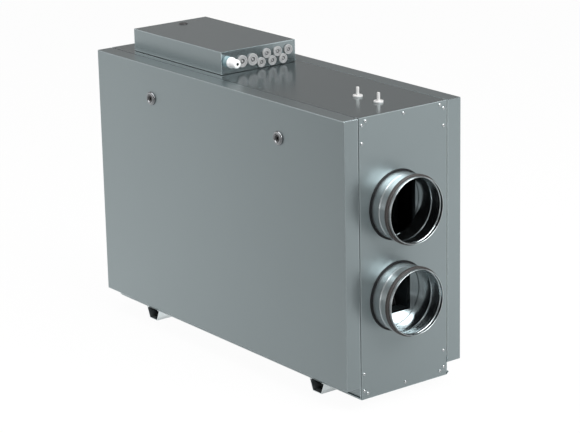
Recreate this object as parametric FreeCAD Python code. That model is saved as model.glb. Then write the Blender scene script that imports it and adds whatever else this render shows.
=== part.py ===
import FreeCAD, Part
import math
import os

# Air handling unit with heat recovery: an upright insulated sheet-steel casing
# with a service door on each long side, two duct spigots on each end, a flat
# control box with cable glands on top and two hat-shaped rails underneath.
#
# Millimetres, +Z up. X runs along the casing, Y from the front door to the
# rear door. The origin is on the floor, under the centre of the casing.

# Casing
casing_length = 1000.0
casing_depth = 260.0
casing_height = 669.0
sheet = 1.2
bend_radius = 2.0
flange_width = 12.0
top_frame_height = 42.0
base_wall_height = 50.0
post_width = 30.0
post_leg = 20.0
lip_reach = 6.6

# Support rails: trapezoid channels across the casing
rail_height = 29.0
rail_top_width = 56.0
rail_bottom_width = 33.0
rail_sheet = 1.5
rail_flange = 9.0
rail_from_ends = (145.0, 167.0)

# Service doors
door_thickness = 40.5
door_bottom_gap = 30.0
door_seal_gap = 2.5
door_return = 14.0
door_hook_inset = 2.0
door_hook_overlap = 14.0
seal_width = 12.0
seat_clearance = 0.3

# Quarter-turn locks in the doors
lock_from_end = 240.0
lock_below_top = 84.0
lock_ring_radius = 17.0
lock_ring_height = 5.5
lock_ring_dome = 3.0
lock_mouth_step = 1.5
lock_mouth_depth = 2.5
lock_core_sunk = 2.5
lock_barrel_radius = 11.0
lock_core_radius = 8.0
lock_recess_depth = 3.5
lock_key_width = 7.0
cam_reach = 52.0
cam_width = 16.0
cam_thickness = 3.0
cam_clearance = 5.3
turn_clearance = 0.3

# Duct spigots
spigot_radius = 78.5
spigot_length = 68.0
spigot_sheet = 0.8
spigot_stub = 14.0
stub_gap = 2.5
spigot_offset = -18.5
spigot_low = 259.5
spigot_pitch = 218.5
bead_place = 27.7
bead_width = 5.0
bead_height = 1.5
bead_slope = 1.25
groove_place = 50.0
groove_width = 10.0
groove_depth = 2.0
groove_slope = 1.0
rim_curl = 1.5
gasket_radius = 82.5
gasket_land = 7.0
base_seal_radius = 84.5
base_seal_height = 4.5
base_seal_top_width = 2.0

# Inner lining, air dividers and what they carry
lining = 25.0
top_lining_height = 36.0
inner_half_depth = 112.0
upper_aperture = (67.0, 76.0)
lower_aperture = (50.0, 47.0)
divider_height = 12.0
divider_level = 368.0
exchanger_half_length = 240.0
exchanger_half_flat = 90.0
exchanger_end_sheet = 6.0
exchanger_slot = 4.0
exchanger_slot_pitch = 8.0
exchanger_slot_depth = 12.0
exchanger_slot_rim = 10.0
filter_from_exchanger = 60.0
filter_thickness = 45.0
filter_frame = 14.0
filter_pleats = 12
filter_fleece = 2.0
filter_inset = 2.0
fan_sheet = 1.5
fan_small_radius = 78.0
fan_radius_step = 12.0
fan_centre_from_mouth = 94.0
fan_flange = 12.0
fan_inlet_radius = 46.0
fan_inlet_curve = 8.0
fan_wheel_radius = 68.0
fan_wheel_width = 84.0
fan_wheel_plate = 3.0
fan_wheel_clearance = 6.0
fan_blades = 36
fan_blade_depth = 12.0
fan_blade_sheet = 1.2
fan_blade_sweep = 9.0
fan_blade_camber = 2.4
fan_motor_radius = 34.0
fan_motor_corner = 6.0
fan_motor_clearance = 20.0

# Control box on the top panel
box_from_left_end = 74.5
box_length = 377.5
box_from_front = 22.0
box_depth = 223.5
box_height = 57.0
box_sheet = 1.0
box_bend_radius = 1.0
box_end_recess = 1.0
box_foot_radius = 1.5
box_foot_gap = 1.5
plug_radius = 11.5
plug_height = 1.5
plug_stem_radius = 9.0
plug_stem_length = 3.0
plug_from_box_corner = (36.5, 127.0)

# Cable glands: rise above the top panel and distance from the box's front
small_gland_radius = 12.4
small_gland_bore = 3.5
small_gland_pitch = 33.2
small_gland_row_rise = 20.0
small_gland_low = 15.2
small_gland_start = 118.0
large_gland_radius = 15.0
large_gland_bore = 4.5
large_gland_rise = 26.2
large_gland_starts = (60.4, 91.9)
gland_length = 5.0
gland_thread_share = 0.8
gland_thread_length = 8.0
gland_rounding = 1.2
gland_groove = 0.8
gland_groove_depth = 0.5
gland_groove_share = 0.68
gland_mouth_share = 0.42
gland_mouth_depth = 1.5
white_gland_radius = 13.3
white_gland_bore = 3.5
white_gland_length = 48.0
white_gland_rise = 32.5
white_gland_collar = 7.0
white_gland_step = 1.0
white_gland_neck = 12.0
white_gland_nut_start = 19.0
white_gland_nut_length = 6.0
white_gland_taper = 1.0
white_gland_nose = 5.0
white_gland_start = 15.8

# Pressure nipples on the top panel
nipple_from_right_end = (162.5, 87.5)
nipple_flange_radius = 13.0
nipple_flange_height = 5.0
nipple_flange_rounding = 2.5
nipple_stem_radius = 3.75
nipple_height = 23.0
nipple_fillet = 1.2
nipple_tip_chamfer = 1.0
nipple_bore_radius = 1.8
nipple_bore_depth = 9.0

# Levels and planes worked out from the sizes above
half_length = casing_length / 2
half_depth = casing_depth / 2
base_level = rail_height
top_level = base_level + casing_height
door_bottom = base_level + door_bottom_gap
door_back = half_depth + door_seal_gap
door_front = door_back + door_thickness
inner_end = half_length - sheet - sheet
lining_end = inner_end - lining
inner_top = top_level - sheet - top_lining_height
inner_base = base_level + base_wall_height - sheet
spigot_high = spigot_low + spigot_pitch
lock_level = top_level - lock_below_top
lock_place = half_length - lock_from_end
cam_plane = half_depth - sheet - cam_clearance
mouth_end = lining_end
divider_base = divider_level - divider_height / 2
divider_top = divider_level + divider_height / 2
filter_place = exchanger_half_length + filter_from_exchanger
rail_places = (-half_length + rail_from_ends[0], half_length - rail_from_ends[1])
nipple_places = [half_length - distance for distance in nipple_from_right_end]
box_left = -half_length + box_from_left_end
box_right = box_left + box_length
box_front = -half_depth + box_from_front
box_back = box_front + box_depth
box_top = top_level + box_height
gland_plane = box_right - box_end_recess
plug_place = (box_left + plug_from_box_corner[0], box_front + plug_from_box_corner[1])

X = FreeCAD.Vector(1, 0, 0)
Y = FreeCAD.Vector(0, 1, 0)
Z = FreeCAD.Vector(0, 0, 1)
ORIGIN = FreeCAD.Vector(0, 0, 0)


def vec(x, y, z):
    return FreeCAD.Vector(x, y, z)


def block(x, y, z):
    """A block from three (low, high) pairs."""
    return Part.makeBox(x[1] - x[0], y[1] - y[0], z[1] - z[0], vec(x[0], y[0], z[0]))


def rod(radius, length, start, direction):
    return Part.makeCylinder(radius, length, start, direction)


def prism(points, run):
    """A closed outline of vectors, pushed along a run."""
    face = Part.Face(Part.makePolygon(points + [points[0]]))
    return face.extrude(run)


def turned(steps):
    """A closed outline turned about the X axis.

    A step (x, radius) is a straight run to that point. A step (via x, via radius, x, radius)
    is an arc through the first point to the second.
    """
    start = vec(steps[0][0], 0, steps[0][1])
    here = start
    edges = []
    for step in steps[1:]:
        there = vec(step[-2], 0, step[-1])
        if len(step) == 4:
            edges.append(Part.Arc(here, vec(step[0], 0, step[1]), there).toShape())
        else:
            edges.append(Part.makeLine(here, there))
        here = there
    edges.append(Part.makeLine(here, start))
    return Part.Face(Part.Wire(edges)).revolve(ORIGIN, X, 360)


def mirrored(shape, normal):
    return shape.mirror(ORIGIN, normal)


def joined(shapes):
    return shapes[0].fuse(shapes[1:]).removeSplitter() if len(shapes) > 1 else shapes[0]


def save(name, *solids):
    shape = solids[0] if len(solids) == 1 else Part.makeCompound(list(solids))
    shape.exportStep("parts/" + name + ".step")


def same(first, second):
    return abs(first - second) < 1e-6


def rounded(shape, radius, wanted):
    """Round the straight edges whose middle the test picks."""
    picked = [edge for edge in shape.Edges if wanted(edge.BoundBox.Center)]
    return shape.makeFillet(radius, picked)


# Casing sheets

def end_panel():
    """Right end: a tray with two long flanges and a hole for each spigot."""
    panel = block((half_length - flange_width, half_length), (-half_depth, half_depth),
                  (base_level, top_level))
    panel = rounded(panel, bend_radius, lambda c: same(c.x, half_length) and same(abs(c.y), half_depth))
    inside = block((half_length - flange_width - 1, half_length - sheet),
                   (-half_depth + sheet, half_depth - sheet), (base_level - 1, top_level + 1))
    panel = panel.cut(inside)
    for level in (spigot_low, spigot_high):
        centre = vec(half_length - 2 * sheet, spigot_offset, level)
        panel = panel.cut(rod(spigot_radius, 3 * sheet, centre, X))
    return panel


def top_panel():
    """A flat sheet with a deep flange behind each door and a short one at each end."""
    side_run = half_length - flange_width
    between_panels = (-half_length + sheet, half_length - sheet)
    between_doors = (-half_depth + sheet, half_depth - sheet)
    parts = [block(between_panels, between_doors, (top_level - sheet, top_level))]
    frame = (top_level - top_frame_height, top_level)
    for low in (-half_depth, half_depth - sheet):
        parts.append(block((-side_run, side_run), (low, low + sheet), frame))
    clear = half_depth - sheet - post_leg
    for low in (-half_length + sheet, half_length - 2 * sheet):
        parts.append(block((low, low + sheet), (-clear, clear), (top_level - post_leg, top_level)))
    return joined(parts)


def base_tray():
    """The floor sheet, a wall behind each door and the upturned lips the doors hook into."""
    side_run = half_length - flange_width
    between_panels = (-half_length + sheet, half_length - sheet)
    between_doors = (-half_depth + sheet, half_depth - sheet)
    parts = [block(between_panels, between_doors, (base_level, base_level + sheet))]
    wall = (base_level, base_level + base_wall_height)
    for low in (-half_depth, half_depth - sheet):
        parts.append(block((-side_run, side_run), (low, low + sheet), wall))
    slant = sheet / math.sqrt(2)
    for side in (-1, 1):
        profile = [(half_depth, base_level), (half_depth + lip_reach, base_level + lip_reach),
                   (half_depth + lip_reach - slant, base_level + lip_reach + slant),
                   (half_depth, base_level + 2 * slant)]
        points = [vec(-half_length, side * y, z) for y, z in profile]
        parts.append(prism(points, X * casing_length))
    return joined(parts)


def corner_post(side):
    """An angle upright behind the end panel that the panel is screwed to."""
    outer_x = half_length - sheet
    outer_y = half_depth - sheet
    height = (base_level + sheet, top_level - sheet)
    face = block((outer_x - post_width, outer_x - sheet), (outer_y - sheet, outer_y), height)
    leg = block((outer_x - sheet, outer_x), (outer_y - post_leg, outer_y), height)
    post = joined([face, leg])
    return post if side > 0 else mirrored(post, Y)


def end_lining():
    """Insulated inner end wall: a round seat for each spigot's stub, then a square cut-out."""
    wall = block((lining_end, inner_end), (-inner_half_depth, inner_half_depth), (inner_base, inner_top))
    seat_floor = half_length - spigot_stub - stub_gap
    seat_radius = spigot_radius + seat_clearance
    for level, (half_wide, half_high) in ((spigot_low, lower_aperture), (spigot_high, upper_aperture)):
        wall = wall.cut(rod(seat_radius, half_length - seat_floor, vec(seat_floor, spigot_offset, level), X))
        wide = (spigot_offset - half_wide, spigot_offset + half_wide)
        wall = wall.cut(block((lining_end - 1, seat_floor), wide, (level - half_high, level + half_high)))
    return wall


# Duct spigots

def spigot():
    """Formed sheet tube on the X axis: stub, stop bead, gasket groove and curled rim."""
    r = spigot_radius
    t = spigot_sheet
    half_bead = bead_width / 2
    half_crown = half_bead - bead_slope
    groove_end = groove_place + groove_width
    curl = spigot_length - rim_curl
    inner_curl = rim_curl - t

    def wall(radius):
        crown = radius + bead_height
        return [(-spigot_stub, radius), (bead_place - half_bead, radius), (bead_place - half_crown, crown),
                (bead_place + half_crown, crown), (bead_place + half_bead, radius),
                (groove_place - groove_slope, radius),
                (groove_place, radius - groove_depth), (groove_end, radius - groove_depth),
                (groove_end + groove_slope, radius)]

    rim = [(curl, r), (spigot_length, r - rim_curl, curl, r - 2 * rim_curl),
           (curl, r - rim_curl - inner_curl), (curl + inner_curl, r - rim_curl, curl, r - t)]
    return turned(wall(r) + rim + wall(r - t)[::-1])


def gasket():
    """Rubber band in the spigot's groove, with a flat land that meets the duct."""
    seat = spigot_radius - groove_depth
    start = groove_place
    end = groove_place + groove_width
    slope = (groove_width - gasket_land) / 2
    return turned([(start, seat), (end, seat), (end, spigot_radius), (end - slope, gasket_radius),
                   (start + slope, gasket_radius), (start, spigot_radius)])


def base_seal():
    """Black ring that closes the gap between the spigot and the end panel."""
    points = [(0, spigot_radius), (0, base_seal_radius), (base_seal_height / 2, base_seal_radius),
              (base_seal_height, spigot_radius + base_seal_top_width), (base_seal_height, spigot_radius)]
    return turned(points)


def at_spigot(shape, level):
    return shape.translated(vec(half_length, spigot_offset, level))


# Inner pieces

def air_divider():
    """Shelf between the upper and the lower air chamber at the right end."""
    return block((exchanger_half_length, lining_end), (-inner_half_depth, inner_half_depth),
                 (divider_base, divider_top))


def exchanger_slots(low, high, first):
    """Open plate gaps along one slanted face, from low to high; every second gap belongs to it."""
    along = high.sub(low).normalize()
    inward = vec(-along.z, 0, along.x)
    if inward.x * low.x > 0:
        inward = inward * -1
    near = low + along * exchanger_slot_rim
    far = high - along * exchanger_slot_rim
    outline = [near - inward, far - inward, far + inward * exchanger_slot_depth,
               near + inward * exchanger_slot_depth]
    room = 2 * (inner_half_depth - exchanger_end_sheet) - exchanger_slot
    count = int(room / exchanger_slot_pitch) + 1
    start = -(count - 1) * exchanger_slot_pitch / 2 - exchanger_slot / 2
    cuts = []
    for number in range(first, count, 2):
        shift = Y * (start + number * exchanger_slot_pitch)
        cuts.append(prism([point + shift for point in outline], Y * exchanger_slot))
    return cuts


def heat_exchanger():
    """Counterflow plate block: each air stream's gaps open on its own two slanted faces."""
    right = [vec(exchanger_half_flat, 0, inner_base), vec(exchanger_half_length, 0, divider_base),
             vec(exchanger_half_length, 0, divider_top), vec(exchanger_half_flat, 0, inner_top)]
    left = [vec(-point.x, 0, point.z) for point in right[::-1]]
    points = [point - Y * inner_half_depth for point in right + left]
    plates = prism(points, Y * (2 * inner_half_depth))
    cuts = exchanger_slots(right[0], right[1], 0) + exchanger_slots(right[2], right[3], 1)
    cuts += exchanger_slots(left[0], left[1], 0) + exchanger_slots(left[2], left[3], 1)
    return plates.cut(Part.makeCompound(cuts))


def air_filter():
    """Pleated filter in a card frame that stands on the divider in the upper right chamber."""
    depth = (filter_place, filter_place + filter_thickness)
    width = (-inner_half_depth, inner_half_depth)
    height = (divider_top, inner_top)
    inner_width = (width[0] + filter_frame, width[1] - filter_frame)
    inner_height = (height[0] + filter_frame, height[1] - filter_frame)
    frame = block(depth, width, height)
    frame = frame.cut(block((depth[0] - 1, depth[1] + 1), inner_width, inner_height))
    folds = (depth[0] + filter_inset, depth[1] - filter_inset - filter_fleece)
    step = (inner_width[1] - inner_width[0]) / (2 * filter_pleats)
    line = [vec(folds[number % 2], inner_width[0] + number * step, inner_height[0])
            for number in range(2 * filter_pleats + 1)]
    fleece = prism(line + [point + X * filter_fleece for point in line[::-1]],
                   Z * (inner_height[1] - inner_height[0]))
    return joined([frame, fleece])


def scroll_face(offset):
    """Outline of the fan scroll in the X-Z plane, moved outwards by the offset."""
    half_high = lower_aperture[1]
    mouth_top = spigot_low + half_high
    mouth_low = spigot_low - half_high
    large = fan_small_radius + 2 * fan_radius_step
    middle = fan_small_radius + fan_radius_step
    x3 = mouth_end - fan_centre_from_mouth
    z3 = mouth_top - large
    x1 = x3 - fan_radius_step
    z1 = z3 - fan_radius_step
    small = fan_small_radius + offset
    middle += offset
    large += offset
    half_root = math.sqrt(0.5)
    right = vec(x1 + small, 0, z1)
    low = vec(x1, 0, z1 - small)
    left = vec(x3 - large, 0, z3)
    top = vec(x3, 0, z3 + large)
    tongue = vec(x1 + small, 0, mouth_low - offset)
    mouth_bottom = vec(mouth_end, 0, mouth_low - offset)
    mouth_upper = vec(mouth_end, 0, mouth_top + offset)
    edges = [
        Part.Arc(right, vec(x1 + small * half_root, 0, z1 - small * half_root), low).toShape(),
        Part.Arc(low, vec(x1 - middle * half_root, 0, z3 - middle * half_root), left).toShape(),
        Part.Arc(left, vec(x3 - large * half_root, 0, z3 + large * half_root), top).toShape(),
        Part.makeLine(top, mouth_upper),
        Part.makeLine(mouth_upper, mouth_bottom),
        Part.makeLine(mouth_bottom, tongue),
        Part.makeLine(tongue, right),
    ]
    return Part.Face(Part.Wire(edges))


def fan_axis():
    large = fan_small_radius + 2 * fan_radius_step
    x3 = mouth_end - fan_centre_from_mouth
    z3 = spigot_low + lower_aperture[1] - large
    return x3 - fan_radius_step / 2, z3 - fan_radius_step / 2


def about_fan(shape, y):
    """Turn a shape made along X to run along Y from the given plane, on the fan's axis."""
    x, z = fan_axis()
    shape.rotate(ORIGIN, Z, 90)
    return shape.translated(vec(x, y, z))


def fan_housing():
    """Sheet scroll with a flanged mouth on the end lining and a rolled inlet facing the front door."""
    half_wide, half_high = lower_aperture
    front = spigot_offset - half_wide - fan_sheet
    shell = scroll_face(fan_sheet).extrude(Y * (2 * half_wide + 2 * fan_sheet))
    shell.translate(vec(0, front, 0))
    rim = fan_sheet + fan_flange
    flange = block((mouth_end - fan_sheet, mouth_end),
                   (spigot_offset - half_wide - rim, spigot_offset + half_wide + rim),
                   (spigot_low - half_high - rim, spigot_low + half_high + rim))
    shell = joined([shell, flange])
    hollow = scroll_face(0).extrude(Y * (2 * half_wide))
    hollow.translate(vec(0, front + fan_sheet, 0))
    rolled = fan_inlet_radius + fan_inlet_curve
    shell = shell.cut(hollow).cut(about_fan(rod(rolled, 3 * fan_sheet, ORIGIN, X), front - fan_sheet))
    bend = math.sqrt(0.5)
    flow = rolled - fan_inlet_curve * bend
    back = fan_inlet_curve - fan_sheet
    inlet = turned([(0, rolled), (fan_inlet_curve * (1 - bend), flow, fan_inlet_curve, fan_inlet_radius),
                    (fan_inlet_curve, fan_inlet_radius + fan_sheet),
                    (fan_inlet_curve - back * bend, rolled - back * bend, fan_sheet, rolled)])
    return joined([shell, about_fan(inlet, front)])


def fan_blade():
    """One forward-curved blade: a thin arc between the wheel's inner and outer radius."""
    inner = fan_wheel_radius - fan_blade_depth
    middle = fan_wheel_radius - fan_blade_depth / 2
    sweep = math.radians(fan_blade_sweep)
    foot = vec(0, 0, inner)
    belly = vec(0, middle * math.sin(sweep / 2) - fan_blade_camber, middle * math.cos(sweep / 2))
    tip = vec(0, fan_wheel_radius * math.sin(sweep), fan_wheel_radius * math.cos(sweep))
    face = Part.Arc(foot, belly, tip).toShape()
    back = face.copy()
    back.rotate(ORIGIN, X, math.degrees(fan_blade_sheet / middle))
    ends = [Part.makeLine(face.Vertexes[number].Point, back.Vertexes[number].Point) for number in (0, 1)]
    outline = Part.Wire(Part.__sortEdges__([face, ends[1], back, ends[0]]))
    return Part.Face(outline).extrude(X * (fan_wheel_width - 2 * fan_wheel_plate))


def fan_wheel():
    """Bladed drum: front ring, blades and back plate round a motor that stands on the scroll's rear wall."""
    ring_bore = fan_wheel_radius - fan_blade_depth
    back = spigot_offset + lower_aperture[0]
    start = back - fan_wheel_width - fan_wheel_clearance
    ring = rod(fan_wheel_radius, fan_wheel_plate, ORIGIN, X)
    ring = ring.cut(rod(ring_bore, 3 * fan_wheel_plate, X * -fan_wheel_plate, X))
    plate = rod(fan_wheel_radius, fan_wheel_plate, X * (fan_wheel_width - fan_wheel_plate), X)
    blade = fan_blade().translated(X * fan_wheel_plate)
    blades = []
    for number in range(fan_blades):
        copy = blade.copy()
        copy.rotate(ORIGIN, X, 360 * number / fan_blades)
        blades.append(copy)
    motor_end = fan_wheel_width + fan_wheel_clearance
    corner = fan_motor_corner
    bend = corner * (1 - math.sqrt(0.5))
    motor = turned([(fan_motor_clearance, 0), (fan_motor_clearance, fan_motor_radius - corner),
                    (fan_motor_clearance + bend, fan_motor_radius - bend,
                     fan_motor_clearance + corner, fan_motor_radius),
                    (motor_end, fan_motor_radius), (motor_end, 0)])
    return about_fan(joined([ring, plate, motor] + blades), start)


# Support rails

def support_rail(place):
    """Trapezoid channel: closed underneath, open at its ends, flanges turned in under the base."""
    half_top = rail_top_width / 2
    half_low = rail_bottom_width / 2
    t = rail_sheet
    slope = (half_top - half_low) / rail_height
    wall = t * math.sqrt(1 + slope * slope)
    inner_low = half_low + slope * t - wall
    inner_high = half_top - slope * t - wall
    flange = half_top - rail_flange
    right = [(half_low, 0), (half_top, rail_height), (flange, rail_height), (flange, rail_height - t),
             (inner_high, rail_height - t), (inner_low, t)]
    left = [(-x, z) for x, z in right[::-1]]
    points = [vec(place + x, -half_depth, z) for x, z in right + left]
    return prism(points, Y * casing_depth)


# Service doors, made for the front and mirrored for the rear

def door_skin():
    """Sheet tray with returned edges at its back and the hook strip along its foot."""
    front = -door_front
    back = -door_back
    tray = block((-half_length, half_length), (front, back), (door_bottom, top_level))
    tray = rounded(tray, bend_radius, lambda c: same(c.y, front) or (
        same(abs(c.x), half_length) and (same(c.z, door_bottom) or same(c.z, top_level))))
    within_sheet = (-half_length + sheet, half_length - sheet)
    within_returns = (-half_length + door_return, half_length - door_return)
    tray = tray.cut(block(within_sheet, (front + sheet, back - sheet),
                          (door_bottom + sheet, top_level - sheet)))
    tray = tray.cut(block(within_returns, (back - 2 * sheet, back + 1),
                          (door_bottom + door_return, top_level - door_return)))
    for side in (-1, 1):
        centre = vec(side * lock_place, front - sheet, lock_level)
        tray = tray.cut(rod(lock_barrel_radius, 3 * sheet, centre, Y))
    hook_end = half_length - door_hook_inset
    strip = block((-hook_end, hook_end), (back, back + sheet), (hook_foot(), door_bottom + door_hook_overlap))
    return joined([tray, strip])


def hook_foot():
    """Lower edge of the hook strip, just clear of the lip's slanted inner face."""
    slant = sheet / math.sqrt(2)
    return base_level + 2 * slant + (door_back - half_depth) + seat_clearance


def door_core():
    """Insulation slab with the inner sheet, filling the tray and its back opening."""
    front = -door_front + sheet
    back = -door_back
    slab = block((-half_length + sheet, half_length - sheet), (front, back - sheet),
                 (door_bottom + sheet, top_level - sheet))
    plug = block((-half_length + door_return, half_length - door_return), (back - sheet, back),
                 (door_bottom + door_return, top_level - door_return))
    core = joined([slab, plug])
    for side in (-1, 1):
        centre = vec(side * lock_place, front - 1, lock_level)
        core = core.cut(rod(lock_barrel_radius, door_thickness + 2, centre, Y))
    return core


def door_seal():
    """Soft strip round the back of the door that closes on the casing's frame."""
    half_wide = half_length - sheet
    low = door_bottom + door_hook_overlap
    high = top_level - sheet
    back = -door_back
    ring = block((-half_wide, half_wide), (back, -half_depth - seat_clearance), (low, high))
    inside = half_wide - seal_width
    through = (back - 1, -half_depth + 1)
    return ring.cut(block((-inside, inside), through, (low + seal_width, high - seal_width)))


def lock_housing(place):
    """Bright raised ring with a barrel through the door, on the lock's own axis."""
    depth = door_thickness
    core = lock_core_radius + turn_clearance
    mouth = core + lock_mouth_step
    face = -lock_ring_height
    floor = face + lock_mouth_depth
    bend = lock_ring_dome * (1 - math.sqrt(0.5))
    points = [(face, mouth), (face, lock_ring_radius - lock_ring_dome),
              (face + bend, lock_ring_radius - bend, face + lock_ring_dome, lock_ring_radius),
              (0, lock_ring_radius), (0, lock_barrel_radius), (depth, lock_barrel_radius), (depth, core),
              (floor, core), (floor, mouth)]
    return on_lock_axis(turned(points), place)


def on_lock_axis(shape, place):
    """Turn a shape made along X so that it runs from the door's face inwards."""
    shape.rotate(ORIGIN, Z, 90)
    return shape.translated(vec(place, -door_front, lock_level))


def lock_core(place):
    """Turning insert with a square key recess, its shaft and the cam behind the door."""
    face = -lock_ring_height + lock_core_sunk
    cam_start = door_front - cam_plane
    insert = rod(lock_core_radius, cam_start - face, vec(face, 0, 0), X)
    half_key = lock_key_width / 2
    key = block((face - 1, face + lock_recess_depth), (-half_key, half_key), (-half_key, half_key))
    insert = insert.cut(key)
    half_cam = cam_width / 2
    tip_place = cam_reach - half_cam
    if place < 0:
        tip_place = -tip_place
    boss = rod(half_cam, cam_thickness, vec(cam_start, 0, 0), X)
    arm = block((cam_start, cam_start + cam_thickness), sorted((0, tip_place)), (-half_cam, half_cam))
    tip = rod(half_cam, cam_thickness, vec(cam_start, tip_place, 0), X)
    return on_lock_axis(joined([insert, boss, arm, tip]), place)


# Control box

def control_box_lid():
    """Cover bent from one sheet: the top and the two long sides."""
    lid = block((box_left, box_right), (box_front, box_back), (top_level + box_foot_gap, box_top))
    lid = rounded(lid, box_bend_radius,
                  lambda c: same(c.z, box_top) and (same(c.y, box_front) or same(c.y, box_back)))
    lid = lid.cut(block((box_left - 1, box_right + 1), (box_front + box_sheet, box_back - box_sheet),
                        (top_level, box_top - box_sheet)))
    return lid.cut(rod(plug_stem_radius, 4 * box_sheet, vec(*plug_place, box_top - 2 * box_sheet), Z))


def control_box_base():
    """Floor and both end plates bent from one sheet, with a hole for each gland."""
    inside = (box_front + box_sheet, box_back - box_sheet)
    left = box_left + box_end_recess
    floor = block((left, gland_plane), inside, (top_level, top_level + box_sheet))
    height = (top_level, box_top - box_sheet)
    ends = [block((low, low + box_sheet), inside, height) for low in (left, gland_plane - box_sheet)]
    base = rounded(joined([floor] + ends), box_foot_radius,
                   lambda c: same(c.z, top_level) and (same(c.x, left) or same(c.x, gland_plane)))
    for radius, bore, y, z in gland_list():
        centre = vec(gland_plane - 2 * box_sheet, y, z)
        base = base.cut(rod(gland_thread(radius), 3 * box_sheet, centre, X))
    return base


def lid_plug():
    """Flat plug pressed into the hole in the lid."""
    disc = rod(plug_radius, plug_height, vec(*plug_place, box_top), Z)
    upper = [edge for edge in disc.Edges if edge.BoundBox.ZMin > box_top + plug_height / 2]
    disc = disc.makeChamfer(plug_height / 2, upper)
    stem = rod(plug_stem_radius, plug_stem_length, vec(*plug_place, box_top - plug_stem_length), Z)
    return joined([disc, stem])


# Cable glands

def gland_thread(radius):
    return radius * gland_thread_share


def small_gland_list():
    low = top_level + small_gland_low
    rows = []
    for row in (0, 1):
        for place in range(3):
            y = box_front + small_gland_start + (place + row / 2) * small_gland_pitch
            rows.append((small_gland_radius, small_gland_bore, y, low + row * small_gland_row_rise))
    return rows


def large_gland_list():
    level = top_level + large_gland_rise
    return [(large_gland_radius, large_gland_bore, box_front + start, level) for start in large_gland_starts]


def white_gland_list():
    level = top_level + white_gland_rise
    return [(white_gland_radius, white_gland_bore, box_front + white_gland_start, level)]


def gland_list():
    return small_gland_list() + large_gland_list() + white_gland_list()


def gland(radius, bore, y, z):
    """Flat gland: thread through the end plate, low head with a ring groove, and a recessed mouth."""
    thread = gland_thread(radius)
    length = gland_length
    bend = gland_rounding * (1 - math.sqrt(0.5))
    ring = radius * gland_groove_share
    ring_edge = ring + gland_groove
    groove_floor = length - gland_groove_depth
    mouth = radius * gland_mouth_share
    mouth_floor = length - gland_mouth_depth
    points = [(-gland_thread_length, bore), (-gland_thread_length, thread), (0, thread), (0, radius),
              (length - gland_rounding, radius), (length - bend, radius - bend),
              (length, radius - gland_rounding), (length, ring_edge), (groove_floor, ring_edge),
              (groove_floor, ring), (length, ring), (length, mouth), (mouth_floor, mouth),
              (mouth_floor, bore)]
    return turned(points).translated(vec(gland_plane, y, z))


def white_gland(radius, bore, y, z):
    """Longer gland: collar, neck, nut ring and a body with a rounded nose."""
    thread = gland_thread(radius)
    length = white_gland_length
    step = white_gland_step
    collar = white_gland_collar
    neck = white_gland_neck
    nut = white_gland_nut_start
    nut_end = nut + white_gland_nut_length
    body = length - white_gland_nose
    crown = radius - white_gland_taper
    tip = crown - white_gland_nose
    bend = white_gland_nose * math.sqrt(0.5)
    points = [(-gland_thread_length, bore), (-gland_thread_length, thread), (0, thread), (0, radius),
              (collar, radius), (collar + step, neck), (nut, neck), (nut, radius), (nut_end, radius),
              (nut_end + step, crown), (body, crown), (body + bend, tip + bend, length, tip), (length, bore)]
    return turned(points).translated(vec(gland_plane, y, z))


def nipple(place):
    """Pressure nipple: a flanged foot with a plain stem for a hose."""
    tip = nipple_height - nipple_tip_chamfer
    mouth = nipple_stem_radius - nipple_tip_chamfer
    crown = nipple_flange_radius - nipple_flange_rounding
    shoulder = nipple_flange_height - nipple_flange_rounding
    bend = nipple_flange_rounding * math.sqrt(0.5)
    points = [(nipple_bore_depth, 0), (0, 0), (0, nipple_flange_radius), (shoulder, nipple_flange_radius),
              (shoulder + bend, crown + bend, nipple_flange_height, crown),
              (nipple_flange_height, nipple_stem_radius + nipple_fillet),
              (nipple_flange_height + nipple_fillet, nipple_stem_radius), (tip, nipple_stem_radius),
              (nipple_height, mouth), (nipple_height, nipple_bore_radius),
              (nipple_bore_depth, nipple_bore_radius)]
    stem = turned(points)
    stem.rotate(ORIGIN, Y, -90)
    return stem.translated(vec(place, 0, top_level))


# Build and save every node

os.makedirs("parts", exist_ok=True)

panel = end_panel()
wall = end_lining()
save("right_end_panel", panel)
save("left_end_panel", mirrored(panel, X))
save("top_panel", top_panel())
save("base_tray", base_tray())
posts = [corner_post(side) for side in (-1, 1)]
save("right_corner_posts", *posts)
save("left_corner_posts", *[mirrored(post, X) for post in posts])
save("right_end_lining", wall)
save("left_end_lining", mirrored(wall, X))
save("top_lining", block((-inner_end, inner_end), (-inner_half_depth, inner_half_depth),
                         (inner_top, top_level - sheet)))
save("base_lining", block((-inner_end, inner_end), (-inner_half_depth, inner_half_depth),
                          (base_level + sheet, inner_base)))

divider = air_divider()
save("right_air_divider", divider)
save("left_air_divider", mirrored(divider, X))
save("heat_exchanger", heat_exchanger())
filter_panel = air_filter()
save("right_filter", filter_panel)
save("left_filter", mirrored(filter_panel, X))
housing = fan_housing()
wheel = fan_wheel()
save("right_fan_housing", housing)
save("left_fan_housing", mirrored(housing, X))
save("right_fan_wheel", wheel)
save("left_fan_wheel", mirrored(wheel, X))

for level, name in ((spigot_high, "upper"), (spigot_low, "lower")):
    tube = at_spigot(spigot(), level)
    save("right_" + name + "_spigot", tube)
    save("left_" + name + "_spigot", mirrored(tube, X))
gaskets = [at_spigot(gasket(), level) for level in (spigot_low, spigot_high)]
seals = [at_spigot(base_seal(), level) for level in (spigot_low, spigot_high)]
save("right_spigot_gaskets", *gaskets)
save("left_spigot_gaskets", *[mirrored(ring, X) for ring in gaskets])
save("right_spigot_seals", *seals)
save("left_spigot_seals", *[mirrored(ring, X) for ring in seals])

save("left_rail", support_rail(rail_places[0]))
save("right_rail", support_rail(rail_places[1]))

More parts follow.
